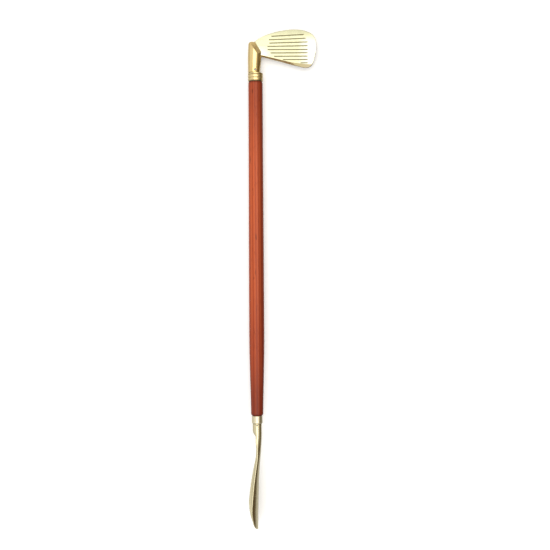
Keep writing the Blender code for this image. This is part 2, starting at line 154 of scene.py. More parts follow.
JOINTS = {joint["name"]: joint for joint in frame["joints"]}
UP = Vector(JOINTS["head_unscrew"]["axis"]).normalized()
SEAM = Vector(JOINTS["head_unscrew"]["pos_m"]) - COLLAR_TOP * UP
TOE = Vector((1.0, 0.0, 0.0))
BACK = UP.cross(TOE)
LAY = Matrix.Translation(SEAM) @ Matrix((TOE, BACK, UP)).transposed().to_4x4()
TO_FRONT = Matrix.Rotation(math.radians(90), 4, "X")


# ------------------------------------------------------------------ mesh tools


def smoothstep(start, end, value):
    t = min(max((value - start) / (end - start), 0.0), 1.0)
    return t * t * (3.0 - 2.0 * t)


def polar(radius, turn, z):
    return (radius * math.cos(turn), radius * math.sin(turn), z)


def fillet(corners, steps=5):
    """A polyline of (radius, height, round) points, each corner rounded by an arc of radius `round`."""
    path = []
    for i, (r, z, rounding) in enumerate(corners):
        here = Vector((r, z))
        if rounding <= 0.0 or i in (0, len(corners) - 1):
            path.append(here)
            continue
        before = (Vector(corners[i - 1][:2]) - here).normalized()
        after = (Vector(corners[i + 1][:2]) - here).normalized()
        half = before.angle(after) / 2.0
        reach = rounding / math.tan(half)
        centre = here + (before + after).normalized() * (rounding / math.sin(half))
        start = here + before * reach - centre
        end = here + after * reach - centre
        sweep = start.angle_signed(end)
        for step in range(steps + 1):
            spoke = start.copy()
            spoke.rotate(Matrix.Rotation(-sweep * step / steps, 2))
            path.append(centre + spoke)
    return [(max(p.x, 0.0), p.y) for p in path]


def quarter(radius, rise, z, steps, falling):
    """A quarter ellipse that rounds a turned edge of `radius` over a height `rise` below or above z."""
    inset = rise * 0.62  # narrower than it is high
    angles = [math.pi / 2 * i / steps for i in range(steps + 1)]
    points = [(radius - inset + inset * math.sin(a), z - rise + rise * math.cos(a)) for a in angles]
    if falling:
        return points
    return [(r, 2 * z - height) for r, height in reversed(points)]


def tube_faces(rows, columns, closed=False):
    """The quads between rows of points that run round a tube, which may close on itself."""
    faces = []
    for i in range(rows if closed else rows - 1):
        here = i * columns
        below = (i + 1) % rows * columns
        for k in range(columns):
            beside = (k + 1) % columns
            faces.append((here + k, here + beside, below + beside, below + k))
    return faces


def end_faces(rows, columns):
    return [tuple(range(columns)), tuple(range((rows - 1) * columns, rows * columns))]


def mesh_from(name, points, faces, crease=32.0):
    """A mesh with its doubles merged, normals pointing out and smooth shading with crisp edges."""
    mesh = bpy.data.meshes.new(name)
    mesh.from_pydata(points, [], faces)
    work = bmesh.new()
    work.from_mesh(mesh)
    bmesh.ops.remove_doubles(work, verts=work.verts, dist=0.002 * MM)
    bmesh.ops.dissolve_degenerate(work, edges=work.edges, dist=0.001 * MM)
    bmesh.ops.recalc_face_normals(work, faces=work.faces)
    work.to_mesh(mesh)
    work.free()
    return crisp(mesh, crease)


def crisp(mesh, crease):
    mesh.shade_smooth()
    mesh.set_sharp_from_angle(angle=math.radians(crease))
    return mesh


def mesh_of(name, work):
    """The mesh of a bmesh that is done with."""
    mesh = bpy.data.meshes.new(name)
    work.to_mesh(mesh)
    work.free()
    return mesh


def lathe(name, path, segments=96, closed=False):
    """Turns a path of (radius, height) points about Z."""
    points = []
    for radius, z in path:
        points += [polar(radius, math.tau * k / segments, z) for k in range(segments)]
    return mesh_from(name, points, tube_faces(len(path), segments, closed))


def drill(name, radius, top, foot, segments=64):
    """A plain rod for cutting a bore."""
    return lathe(name, [(0.0, top), (radius, top), (radius, foot), (0.0, foot)], segments)


def pin_drill(name, radius, near, far, height):
    """A plain rod for cutting a pin hole that opens to the front."""
    hole = drill(name, radius, far, near, 40)
    hole.transform(Matrix.Translation((0.0, 0.0, height)) @ TO_FRONT)
    return hole


def loft(name, rings, crease=32.0):
    """A closed solid through rings of equal counts, with flat ends."""
    points = [point for ring in rings for point in ring]
    rows, columns = len(rings), len(rings[0])
    return mesh_from(name, points, tube_faces(rows, columns) + end_faces(rows, columns), crease)


def add_object(name, data):
    obj = bpy.data.objects.new(name, data)
    bpy.context.scene.collection.objects.link(obj)
    return obj


def place(name, mesh, height=0.0):
    """An object in the shoehorn's frame, at a height along the shaft."""
    obj = add_object(name, mesh)
    obj.matrix_world = LAY @ Matrix.Translation((0.0, 0.0, height))
    return obj


def piece(name, mesh, height, body, slot, material, *nodes):
    """A visible piece in the shoehorn's frame that rides on a CAD body and stands for CAD nodes."""
    obj = place(name, mesh, height)
    obj.data.materials.append(material)
    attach(obj, body)
    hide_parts(*nodes)
    return obj


def carved(blank, cuts, extra=()):
    """The blank's mesh after Boolean cuts and further modifiers; the blank and cutters are removed."""
    tools = []
    for operation, mesh, height in cuts:
        tool = place("tool", mesh, height)
        cut = blank.modifiers.new(operation, "BOOLEAN")
        cut.operation = operation
        cut.object = tool
        cut.solver = "EXACT"
        tools.append(tool)
    for kind, settings in extra:
        modifier = blank.modifiers.new(kind, kind)
        for key, value in settings.items():
            setattr(modifier, key, value)
    bpy.context.view_layer.update()
    evaluated = blank.evaluated_get(bpy.context.evaluated_depsgraph_get())
    mesh = bpy.data.meshes.new_from_object(evaluated)
    mesh.name = blank.data.name + "_carved"
    mesh.materials.clear()
    for obj in tools + [blank]:
        bpy.data.objects.remove(obj, do_unlink=True)
    return mesh


# ------------------------------------------------------------------ material tools


def fill_ramp(ramp, stops):
    """Gives a colour ramp its (position, colour) stops."""
    while len(ramp.elements) < len(stops):
        ramp.elements.new(0.5)
    for element, (position, colour) in zip(ramp.elements, stops):
        element.position = position
        element.color = (*colour, 1.0)


def dimmed(colour, share):
    return tuple(channel * share for channel in colour)


class Nodes:
    """A small builder for a material's node tree."""

    def __init__(self, name):
        self.material = bpy.data.materials.new(name)
        self.material.use_nodes = True
        self.tree = self.material.node_tree
        self.shader = self.tree.nodes["Principled BSDF"]

    def add(self, kind, **settings):
        node = self.tree.nodes.new(kind)
        for key, value in settings.items():
            if hasattr(node, key):
                setattr(node, key, value)
            else:
                node.inputs[key.replace("_", " ")].default_value = value
        return node

    def link(self, source, target):
        self.tree.links.new(source, target)

    def feed(self, value, socket):
        """Sets a socket to a number or a colour, or links an output to it."""
        if isinstance(value, (int, float)):
            socket.default_value = value
        elif isinstance(value, tuple):
            socket.default_value = (*value, 1.0)
        else:
            self.link(value, socket)

    def shade(self, **settings):
        """Sets or links sockets of the Principled shader."""
        for key, value in settings.items():
            self.feed(value, self.shader.inputs[key.replace("_", " ")])

    def mapped(self, scale=(1, 1, 1)):
        """Object coordinates, stretched where an axis has a small scale."""
        coordinates = self.add("ShaderNodeTexCoord")
        mapping = self.add("ShaderNodeMapping", Scale=scale)
        self.link(coordinates.outputs["Object"], mapping.inputs["Vector"])
        return mapping.outputs["Vector"]

    def split(self):
        """The X, Y and Z outputs of the object coordinates."""
        node = self.add("ShaderNodeSeparateXYZ")
        self.link(self.mapped(), node.inputs[0])
        return node.outputs

    def noise(self, vector, scale, detail, roughness):
        node = self.add("ShaderNodeTexNoise", Scale=scale, Detail=detail, Roughness=roughness)
        self.link(vector, node.inputs["Vector"])
        return node.outputs["Fac"]

    def attribute(self, name):
        return self.add("ShaderNodeAttribute", attribute_name=name).outputs["Fac"]

    def ramp(self, value, stops, interpolation="LINEAR"):
        node = self.add("ShaderNodeValToRGB")
        node.color_ramp.interpolation = interpolation
        fill_ramp(node.color_ramp, stops)
        self.link(value, node.inputs["Fac"])
        return node.outputs["Color"]

    def spread(self, value, low, high, start=0.0, end=1.0):
        """Maps low..high to start..end."""
        node = self.add("ShaderNodeMapRange")
        for socket, number in zip(("From Min", "From Max", "To Min", "To Max"), (low, high, start, end)):
            node.inputs[socket].default_value = number
        self.link(value, node.inputs["Value"])
        return node.outputs["Result"]

    def mix(self, factor, a, b, blend="MIX"):
        node = self.add("ShaderNodeMix", data_type="RGBA", blend_type=blend)
        for value, socket in ((factor, 0), (a, 6), (b, 7)):
            self.feed(value, node.inputs[socket])
        return node.outputs[2]

    def math(self, operation, a, b):
        node = self.add("ShaderNodeMath", operation=operation)
        for value, socket in ((a, 0), (b, 1)):
            self.feed(value, node.inputs[socket])
        return node.outputs[0]

    def bump(self, height, distance, strength, after=None):
        node = self.add("ShaderNodeBump", Strength=strength, Distance=distance)
        self.link(height, node.inputs["Height"])
        if after is not None:
            self.link(after, node.inputs["Normal"])
        return node.outputs["Normal"]

    def occlusion_shade(self, distance):
        """1 in tight corners and grooves, 0 on open surfaces, from ambient occlusion: a mask for painted
        shade.
        """
        node = self.add("ShaderNodeAmbientOcclusion", samples=6, Distance=distance)
        return self.spread(node.outputs["AO"], 0.35, 0.9, 1.0, 0.0)


# ------------------------------------------------------------------ brass and steel


def brass(name, clean, warm, roughness, scratch_axis):
    """Polished brass: two tones, soft hand-polished waves, hairline scratches and painted shade darkening
    its corners.

    Gives the node builder with the outputs for colour and roughness, which aren't linked yet.
    """
    m = Nodes(name)
    cloud = m.noise(m.mapped(), scale=55.0, detail=5.0, roughness=0.6)
    spots = m.noise(m.mapped(), scale=420.0, detail=3.0, roughness=0.5)
    # painted shade: corners and grooves are darkened towards this colour by ambient occlusion
    corner_shade = (clean[0] * 0.30, clean[1] * 0.26, clean[2] * 0.20)
    colour = m.mix(m.spread(cloud, 0.35, 0.7), clean, warm)
    colour = m.mix(m.spread(spots, 0.66, 0.78, 0.0, 0.35), colour, dimmed(warm, 0.62))
    colour = m.mix(m.math("MULTIPLY", m.occlusion_shade(1.4 * MM), 0.85), colour, corner_shade)
    stretch = [900.0, 900.0, 900.0]
    stretch[scratch_axis] = 26.0
    hairlines = m.noise(m.mapped(tuple(stretch)), scale=1.0, detail=6.0, roughness=0.65)
    haze = m.noise(m.mapped(), scale=140.0, detail=4.0, roughness=0.6)
    rough = m.spread(haze, 0.3, 0.75, roughness * 0.75, roughness * 1.5)
    rough = m.math("ADD", rough, m.spread(hairlines, 0.45, 0.75, 0.0, 0.08))
    waves = m.noise(m.mapped(), scale=110.0, detail=2.0, roughness=0.4)
    normal = m.bump(waves, 0.05 * MM, 0.35)
    normal = m.bump(hairlines, 0.004 * MM, 0.5, normal)
    m.shade(Metallic=1.0, Normal=normal)
    return m, colour, rough


def plain_brass(name, clean, warm, roughness):
    """Brass with its hairlines along the shaft."""
    m, colour, rough = brass(name, clean, warm, roughness, 2)
    m.shade(Base_Color=colour, Roughness=rough)
    return m.material


def satin_face(m, streaks):
    """The colour of the iron's face: paler at the toe and at the heel's topline, with painted shade
    darkening it along the sole.
    """
    x, _, z = m.split()
    toe = m.math("MULTIPLY", m.spread(x, 50 * MM, 62 * MM), m.spread(z, 44 * MM, 37 * MM))
    heel = m.math("MULTIPLY", m.spread(x, 20 * MM, 8 * MM), m.spread(z, 32 * MM, 24 * MM))
    satin = m.mix(m.spread(streaks, 0.3, 0.7), SATIN, dimmed(SATIN, 0.93))
    satin = m.mix(m.math("MAXIMUM", toe, heel), satin, SATIN_PALE)
    # painted shade: darker along the rounded edge at the sole
    return m.mix(m.spread(z, 42 * MM, 48 * MM, 0.0, 0.45), satin, dimmed(SATIN, 0.42))


def iron_brass(name, clean, warm, roughness):
    """Polished brass with hairlines across, a pale satin face and painted shade darkening its grooves."""
    m, colour, rough = brass(name, clean, warm, roughness, 0)
    streaks = m.noise(m.mapped((30, 1, 420)), scale=1.0, detail=3.0, roughness=0.6)
    face = m.attribute("satin")
    colour = m.mix(face, colour, satin_face(m, streaks))
    # painted shade: the grooves darkened, a little unevenly along the streaks
    groove_shade = m.math("MULTIPLY", m.attribute("groove_shade"), m.spread(streaks, 0.25, 0.75, 0.75, 1.0))
    colour = m.mix(groove_shade, colour, GROOVE_SHADE)
    rough = m.math("ADD", rough, m.math("MULTIPLY", face, 0.14))
    m.shade(Base_Color=colour, Roughness=rough)
    return m.material


def steel(name):
    """Cut steel with fine turning marks, and painted shade darkening the roots of its thread."""
    m = Nodes(name)
    cloud = m.noise(m.mapped(), scale=180.0, detail=5.0, roughness=0.6)
    turned = m.noise(m.mapped((60, 60, 2600)), scale=1.0, detail=3.0, roughness=0.6)
    colour = m.mix(cloud, (0.30, 0.29, 0.28), (0.52, 0.52, 0.53))
    # painted shade: the roots of the thread darkened by ambient occlusion
    colour = m.mix(m.math("MULTIPLY", m.occlusion_shade(0.8 * MM), 0.8), colour, (0.06, 0.045, 0.03))
    rough = m.spread(cloud, 0.3, 0.7, 0.26, 0.44)
    m.shade(Base_Color=colour, Metallic=1.0, Roughness=rough, Normal=m.bump(turned, 0.006 * MM, 0.5))
    return m.material


# ------------------------------------------------------------------ wood material


def grain_colour(m, fibres, pores):
    """Red-brown growth bands and long fibres with clouded staining, dark pores and a few dark flecks."""
    bands = m.add("ShaderNodeTexWave", wave_type="BANDS", bands_direction="X", Scale=95.0, Distortion=5.5)
    bands.inputs["Detail"].default_value = 3.0
    bands.inputs["Detail Scale"].default_value = 0.6
    m.link(m.mapped((1, 0.35, 0.035)), bands.inputs["Vector"])
    warp = m.noise(m.mapped((1, 1, 0.10)), scale=42.0, detail=3.0, roughness=0.5)
    flecks = m.noise(m.mapped((1, 1, 0.16)), scale=420.0, detail=2.0, roughness=0.4)
    tones = [(0.18, (0.37, 0.056, 0.016)), (0.45, (0.49, 0.084, 0.022)), (0.72, (0.60, 0.120, 0.034))]
    colour = m.ramp(m.mix(0.45, bands.outputs["Fac"], fibres), tones)
    colour = m.mix(m.spread(warp, 0.3, 0.7, 0.0, 0.5), colour, (0.40, 0.062, 0.016))
    colour = m.mix(m.spread(pores, 0.62, 0.72, 0.0, 0.65), colour, (0.08, 0.014, 0.006))
    return m.mix(m.spread(flecks, 0.70, 0.76, 0.0, 0.55), colour, (0.055, 0.010, 0.004))


def wood_shade_and_tone(m, colour):
    """Darkens the wood towards both ends, with painted shade on the rims of the ends and on the toe side of
    the shaft.
    """
    x, _, z = m.split()
    # The stops at both ends paint shade on the rims; between them the wood darkens towards both ends.
    tones = [
        (0.0, (0.30, 0.25, 0.20)),
        (0.008, (0.74, 0.66, 0.62)),
        (0.25, (1.0, 1.0, 1.0)),
        (0.60, (0.88, 0.84, 0.82)),
        (0.80, (0.72, 0.62, 0.62)),
        (0.99, (0.45, 0.36, 0.38)),
        (1.0, (0.30, 0.22, 0.22)),
    ]
    tone = m.ramp(m.spread(z, -WOOD_LENGTH, 0.0, 1.0, 0.0), tones, "EASE")
    colour = m.mix(1.0, colour, tone, "MULTIPLY")
    # painted shade: the toe side of the shaft darker, away from the light
    toe_side_shade = m.spread(x, 0.5 * MM, 7.0 * MM, 0.0, 0.7)
    return m.mix(toe_side_shade, colour, (0.16, 0.018, 0.006))


def lacquered_wood(name):
    """Stained hardwood under a thin, slightly rippled lacquer."""
    m = Nodes(name)
    fibres = m.noise(m.mapped((1, 1, 0.018)), scale=1500.0, detail=4.0, roughness=0.65)
    pores = m.noise(m.mapped((1, 1, 0.045)), scale=2300.0, detail=2.0, roughness=0.5)
    ripple = m.noise(m.mapped((1, 1, 0.3)), scale=160.0, detail=2.0, roughness=0.4)
    normal = m.bump(fibres, 0.02 * MM, 0.35)
    normal = m.bump(pores, 0.03 * MM, 0.25, normal)
    m.shade(Base_Color=wood_shade_and_tone(m, grain_colour(m, fibres, pores)), Normal=normal)
    m.shade(Roughness=m.spread(fibres, 0.3, 0.7, 0.34, 0.50), Specular_IOR_Level=0.15)
    m.shade(Coat_Weight=0.20, Coat_Roughness=0.16, Coat_IOR=1.5)
    m.shade(Coat_Normal=m.bump(ripple, 0.06 * MM, 0.35))
    return m.material


# ------------------------------------------------------------------ wood


def wood_radius(depth):
    """The shaft swells gently along its length and then tapers to the ferrule."""
    swell = 8.45 * MM + 0.45 * MM * smoothstep(0.0, 300 * MM, depth)
    taper = 1.8 * MM * smoothstep(290 * MM, 402 * MM, depth) ** 1.3
    return swell - taper


def wood_shaft(material):
    top_bore = HEAD_STUD_RADIUS + 2 * GAP + INSERT_WALL
    low_bore = BLADE_STUD_RADIUS + 2 * GAP + INSERT_WALL
    depth = INSERT_LENGTH + 0.8 * MM
    start, end, steps = 3.0 * MM, WOOD_LENGTH - 2.8 * MM, 150
    stations = [start + (end - start) * i / steps for i in range(steps + 1)]
    path = [(0.0, -depth), (top_bore, -depth), (top_bore, -BORE_EDGE), (top_bore + BORE_EDGE, 0.0)]
    path += quarter(wood_radius(0.0), 2.4 * MM, 0.0, 8, True)
    path += [(wood_radius(z), -z) for z in stations]
    path += quarter(wood_radius(WOOD_LENGTH), 2.2 * MM, -WOOD_LENGTH, 8, False)
    path += [
        (low_bore + BORE_EDGE, -WOOD_LENGTH),
        (low_bore, -WOOD_LENGTH + BORE_EDGE),
        (low_bore, -WOOD_LENGTH + depth),
        (0.0, -WOOD_LENGTH + depth),
    ]
    mesh = lathe("wood_shaft_fine", path, 128)
    return piece("turned_shaft", mesh, 0.0, "shaft", "lacquered_wood", material, "wood_shaft")


# ------------------------------------------------------------------ threads


def thread_depth(z, turn, pitch):
    """0 on the crest and 1 in the root of a right-hand thread with flat crests and roots."""
    flat = 0.12
    phase = (z / pitch - turn / math.tau) % 1.0
    slope = abs(2.0 * phase - 1.0)
    return min(max((slope - flat) / (1.0 - 2.0 * flat), 0.0), 1.0)


def thread_turns():
    return [math.tau * k / THREAD_COLUMNS for k in range(THREAD_COLUMNS)]


def threaded_rod(name, radius, pitch, top, foot):
    """A stud with a real helical thread and chamfered ends."""
    depth, chamfer, chamfer_slope = 0.6 * pitch, 0.9 * MM, 0.8
    rows = int((top - foot) / pitch * ROWS_PER_TURN)
    points = []
    for i in range(rows + 1):
        z = foot + (top - foot) * i / rows
        to_end = min(z - foot, top - z)
        limit = radius - max(0.0, chamfer - to_end) * chamfer_slope
        for turn in thread_turns():
            points.append(polar(min(radius - depth * thread_depth(z, turn, pitch), limit), turn, z))
    faces = tube_faces(rows + 1, THREAD_COLUMNS) + end_faces(rows + 1, THREAD_COLUMNS)
    return mesh_from(name, points, faces, THREAD_CREASE)


def threaded_insert(name, bore, pitch, top, foot):
    """A bushing whose bore carries the matching thread."""
    depth = 0.4 * pitch
    outer = bore + INSERT_WALL
    bevel, bevel_rise = 0.25 * MM, 0.3 * MM
    rows = int((top - foot) / pitch * ROWS_PER_TURN)
    points = []
    for i in range(rows + 1):
        z = top - (top - foot) * i / rows
        points += [polar(bore + depth * thread_depth(z, turn, pitch), turn, z) for turn in thread_turns()]
    outside = [
        (outer - bevel, foot),
        (outer, foot + bevel_rise),
        (outer, top - bevel_rise),
        (outer - bevel, top),
    ]
    for radius, z in outside:
        points += [polar(radius, turn, z) for turn in thread_turns()]
    faces = tube_faces(rows + 1 + len(outside), THREAD_COLUMNS, closed=True)
    return mesh_from(name, points, faces, THREAD_CREASE)


def studs(material):
    rod = threaded_rod("head_stud_fine", HEAD_STUD_RADIUS, HEAD_PITCH, HEAD_STUD_TOP, HEAD_STUD_FOOT)
    piece("head_stud_m8", rod, 0.0, "head", "threaded_steel", material, "head_stud")
    top = FERRULE_LENGTH + BLADE_STUD_REACH
    rod = threaded_rod("blade_stud_fine", BLADE_STUD_RADIUS, BLADE_PITCH, top, -BLADE_STUD_DEPTH)
    piece("blade_stud_m6", rod, NECK_TOP, "blade", "threaded_steel", material, "blade_stud")


def inserts(material):
    tube = threaded_insert("upper_insert_fine", HEAD_STUD_RADIUS + GAP, HEAD_PITCH, -GAP, -INSERT_LENGTH)
    piece("upper_bushing", tube, 0.0, "shaft", "turned_brass", material, "upper_insert")
    tube = threaded_insert("lower_insert_fine", BLADE_STUD_RADIUS + GAP, BLADE_PITCH, INSERT_LENGTH, GAP)
    piece("lower_bushing", tube, -WOOD_LENGTH, "shaft", "turned_brass", material, "lower_insert")


# ------------------------------------------------------------------ collar, ferrule and pins


def bead(radius, groove, high, low):
    """A low turned bead in profile, from the groove above it round to the groove below it."""
    steps, first, sweep, bulge = 18, 8, 164, 0.3
    middle, half, rise = (high + low) / 2, (high - low) / 2, radius - groove
    swings = [math.radians(first + sweep * i / steps) for i in range(steps + 1)]
    return [(groove + rise * math.sin(a) ** bulge, middle + half * math.cos(a)) for a in swings]


def ribbed_collar(material):
    """A turned ring with a plain shoulder over two beads, each between narrow grooves."""
    bore = HEAD_STUD_RADIUS + GAP
    top = COLLAR_TOP - GAP
    highest, lowest = COLLAR_GROOVES[0], COLLAR_GROOVES[-1]
    groove = COLLAR_RADIUS - COLLAR_GROOVE_DEPTH
    lip = 0.08 * MM
    path = [(bore, top - BORE_EDGE), (bore + BORE_EDGE, top)]
    path += quarter(COLLAR_RADIUS - 0.05 * MM, 0.6 * MM, top, 5, True)
    path += [(COLLAR_RADIUS, highest + 0.9 * MM), (COLLAR_RADIUS - 0.15 * MM, highest + 0.45 * MM)]
    for high, low in zip(COLLAR_GROOVES, COLLAR_GROOVES[1:]):
        path.append((groove, high))
        path += bead(COLLAR_RADIUS, groove, high - lip, low + lip)
    path += [(groove, lowest), (COLLAR_RADIUS - 0.35 * MM, 0.62 * MM), (COLLAR_RADIUS - 0.5 * MM, GAP)]
    path += [(bore + BORE_EDGE, GAP), (bore, GAP + BORE_EDGE)]
    mesh = lathe("ribbed_collar_fine", path, 128, closed=True)
    return piece("beaded_collar", mesh, 0.0, "collar", "turned_brass", material, "ribbed_collar")


def lower_ferrule(material):
    """A plain turned ring, rounded at both ends."""
    bore = BLADE_STUD_RADIUS + GAP
    top, foot, radius = -GAP, -FERRULE_LENGTH + GAP, FERRULE_RADIUS
    corners = [
        (bore, foot + BORE_EDGE, 0.0),
        (bore, top, 0.15 * MM),
        (radius - 0.55 * MM, top, 0.15 * MM),
        (radius - 0.02 * MM, top - 0.55 * MM, 0.35 * MM),
        (radius, foot + 0.5 * MM, 0.35 * MM),
        (radius - 0.5 * MM, foot, 0.15 * MM),
        (bore + BORE_EDGE, foot, 0.0),
    ]
    mesh = lathe("lower_ferrule_fine", fillet(corners), 128, closed=True)
    return piece("plain_ferrule", mesh, -WOOD_LENGTH, "ferrule", "turned_brass", material, "lower_ferrule")


def pin_mesh(name, radius, near, far):
    """A locking pin that points to the front, with a slightly domed end."""
    dome, shoulder, chamfer = 0.05 * MM, 0.18 * MM, 0.12 * MM
    path = [
        (0.0, far + dome),
        (radius * 0.5, far + dome * 0.6),
        (radius * 0.85, far - dome * 0.8),
        (radius, far - shoulder),
        (radius, near + chamfer),
        (radius - chamfer, near),
        (0.0, near),
    ]
    mesh = lathe(name, path, 48)
    mesh.transform(TO_FRONT)
    return mesh


def hosel_pin(material):
    mesh = pin_mesh("hosel_lock_pin_fine", HOSEL_PIN_RADIUS, HEAD_STUD_RADIUS + GAP, HOSEL_FOOT_RADIUS)
    height = COLLAR_TOP + HOSEL_PIN_HEIGHT
    return piece("hosel_lock_pin", mesh, height, "head", "threaded_steel", material, "hosel_pin")


def neck_pin(material):
    mesh = pin_mesh("neck_lock_pin_fine", NECK_PIN_RADIUS, BLADE_STUD_RADIUS + GAP, NECK_RADIUS)
    height = NECK_TOP - NECK_PIN_DROP
    return piece("neck_lock_pin", mesh, height, "blade", "threaded_steel", material, "neck_pin")


# ------------------------------------------------------------------ shoehorn blade


def trough_section(drop):
    """Spine position, depth and half-width of the trough at a distance below the top of the neck."""
    spine = NECK_RADIUS - 3.65 * MM * smoothstep(10 * MM, 72 * MM, drop)
    spine -= 0.95 * MM * smoothstep(60 * MM, 110 * MM, drop)
    depth = 6.7 * MM - 2.9 * MM * smoothstep(17 * MM, 42 * MM, drop)
    depth += (TROUGH_DEPTH - 3.8 * MM) * smoothstep(28 * MM, 102 * MM, drop)
    half = 5.05 * MM + (HALF_WIDTH - 5.05 * MM) * smoothstep(8 * MM, 104 * MM, drop)
    if drop > WIDEST:
        fade = math.sqrt(1.0 - min((drop - WIDEST) / (BLADE_LENGTH + 0.02 * MM - WIDEST), 1.0) ** 2)
        half *= fade
        depth *= fade
    return spine, depth, half


def blade_ring(drop, columns):
    """One ring: the outside of the sheet, a rounded rim, and back along the inside.

    Its points crowd towards the rims. Near the neck the inside moves out to the front of a full
    circle, which leaves a round neck and a scoop that runs into the trough.
    """
    spine, depth, half = trough_section(drop)
    radius = (half * half + depth * depth) / (2.0 * depth)
    opening = math.atan2(half, radius - depth)
    scoop = smoothstep(SCOOP_START, SCOOP_END, drop)
    middle = radius - SHEET / 2
    arc = middle * opening
    crowding = 0.35
    outer, inner = [], []
    for i in range(columns + 1):
        share = math.sin(math.pi / 2 * (2.0 * i / columns - 1.0))
        share += crowding * (share**3 - share)
        angle = share * opening
        to_rim = arc * (1.0 - abs(share))
        thin = SHEET / 2 * math.sqrt(max(0.0, 1.0 - max(0.0, 1.0 - to_rim / (SHEET / 2)) ** 2))
        outside = middle + SHEET / 2 + (thin - SHEET / 2) * scoop
        inside = middle - thin
        centre = spine - radius
        outer.append((centre + outside * math.cos(angle), outside * math.sin(angle), -drop))
        front = math.pi - share * (math.pi - opening)
        neck = (centre + radius * math.cos(front), radius * math.sin(front))
        trough = (centre + inside * math.cos(angle), inside * math.sin(angle))
        inner.append((*(n + (t - n) * scoop for n, t in zip(neck, trough)), -drop))
    return outer + inner[-2:0:-1]


def blade_drops():
    """Stations of the rings: evenly spaced to the widest part, then closing up towards the tip."""
    spacing, tail_steps = 1.2 * MM, 36
    drops = [spacing + spacing * i for i in range(int((WIDEST - spacing) / spacing) + 1)]
    start = drops[-1]
    tail = BLADE_LENGTH - start
    swings = [math.radians(90 / tail_steps * i) for i in range(1, tail_steps + 1)]
    return drops + [start + tail * math.sin(a) for a in swings]


def shoehorn_blade(material):
    """A solid round neck that opens into a long trough of thin sheet, bored for its stud and pin."""
    columns = 56 if FULL_DETAIL else 28
    rings = []
    for drop, inset in NECK_EDGE:
        factor = 1.0 - inset * MM / NECK_RADIUS
        rings.append([(x * factor, y * factor, z) for x, y, z in blade_ring(drop * MM, columns)])
    rings += [blade_ring(drop, columns) for drop in blade_drops()]
    blank = loft("shoehorn_blade_fine", rings, BLADE_CREASE)
    blank.transform(Matrix.Rotation(BLADE_ROLL, 4, "Z"))
    bore = drill("neck_bore", BLADE_STUD_RADIUS + GAP, OVERCUT, -BLADE_STUD_DEPTH - GAP)
    near, far = BLADE_STUD_RADIUS - OVERCUT, NECK_RADIUS + OVERCUT
    hole = pin_drill("neck_hole", NECK_PIN_RADIUS + GAP, near, far, -NECK_PIN_DROP)
    cuts = [("DIFFERENCE", bore, NECK_TOP), ("DIFFERENCE", hole, NECK_TOP)]
    mesh = crisp(carved(place("blade_blank", blank, NECK_TOP), cuts), BLADE_CREASE)
    return piece("brass_blade", mesh, NECK_TOP, "blade", "polished_brass", material, "shoehorn_blade")


# ------------------------------------------------------------------ club head


def iron_outline():
    """The outline of the iron seen from the front, as a mesh with the full thickness of the casting."""
    curve = bpy.data.curves.new("iron_outline", "CURVE")
    curve.dimensions = "2D"
    curve.fill_mode = "BOTH"
    curve.extrude = (FACE_FRONT + SOLE_BACK) / 2
    curve.resolution_u = 20
    heel = [(7.6, 19.5), (-3.0, 22.1), (-3.0, 35.0), (-1.0, 36.5)]
    sole = [(5.0, 40.8), (16.5, 45.8), (33.0, 49.8), (48.5, 50.9), (60.0, 48.9)]
    toe = [(69.1, 43.3), (72.1, 30.3), (70.0, 17.3), (66.6, 8.9), (62.9, 6.6)]
    topline = [(48.8, 8.5), (28.9, 13.8)]
    points = heel + sole + toe + topline
    spline = curve.splines.new("BEZIER")
    spline.bezier_points.add(len(points) - 1)
    for knot, (x, z) in zip(spline.bezier_points, points):
        knot.co = (x * MM, z * MM, 0.0)
        knot.handle_left_type = "VECTOR" if (x, z) in heel else "AUTO"
        knot.handle_right_type = "VECTOR" if (x, z) in heel[:3] else "AUTO"
    spline.use_cyclic_u = True
    flat = add_object("iron_outline", curve)
    bpy.context.view_layer.update()
    mesh = bpy.data.meshes.new_from_object(flat.evaluated_get(bpy.context.evaluated_depsgraph_get()))
    bpy.data.objects.remove(flat, do_unlink=True)
    mesh.transform(Matrix.Translation((0.0, (SOLE_BACK - FACE_FRONT) / 2, 0.0)) @ TO_FRONT)
    work = bmesh.new()
    work.from_mesh(mesh)
    bmesh.ops.remove_doubles(work, verts=work.verts, dist=0.01 * MM)
    bmesh.ops.dissolve_limit(work, angle_limit=0.001, verts=work.verts, edges=work.edges)
    work.to_mesh(mesh)
    work.free()
    return mesh


def back_relief():
    """Thins the back towards the topline, with a curved step up to the thick band behind the sole."""
    thin, thick, clear, reach = -0.3 * MM, 1.6 * MM, 14.0 * MM, -25.0 * MM
    step_foot, step_rise, steps, sweep = 26.0 * MM, 9.0 * MM, 10, 80
    section = [(thin, reach), (thick, step_foot)]
    for i in range(1, steps + 1):
        swing = math.radians(sweep * i / steps)
        depth = thick + (clear - thick) * (1 - math.cos(swing))
        section.append((depth, step_foot + step_rise * math.sin(swing) ** 0.8))
    outside = clear + 0.5 * MM
    section += [(outside, step_foot + step_rise), (outside, reach)]
    mesh = loft("back_relief", [[(x, y, z) for y, z in section] for x in (-8 * MM, 95 * MM)])
    mesh.transform(Matrix.Rotation(math.radians(-2.0), 4, "Y"))
    return mesh


def topline_chamfer():
    """Bevels the front of the topline, narrow and steep at the heel, broad and flat at the toe.

    Each station gives x, the height at which the bevel leaves the face, and its slope in degrees.
    """
    stations = [(-1.0, 23.0, 60.0), (39.0, 13.0, 52.0), (58.0, 10.1, 42.0), (76.0, 9.2, 42.0)]
    ahead, behind = 1.0 * MM, 6.0 * MM
    rings = []
    for x, height, slope in stations:
        rise = 1.0 / math.tan(math.radians(slope))
        low = height * MM - behind * rise
        rings.append(
            [
                (x * MM, -FACE_FRONT - ahead, height * MM + ahead * rise),
                (x * MM, -FACE_FRONT + behind, low),
                (x * MM, -FACE_FRONT - ahead, low),
            ]
        )
    return loft("topline_chamfer", rings)


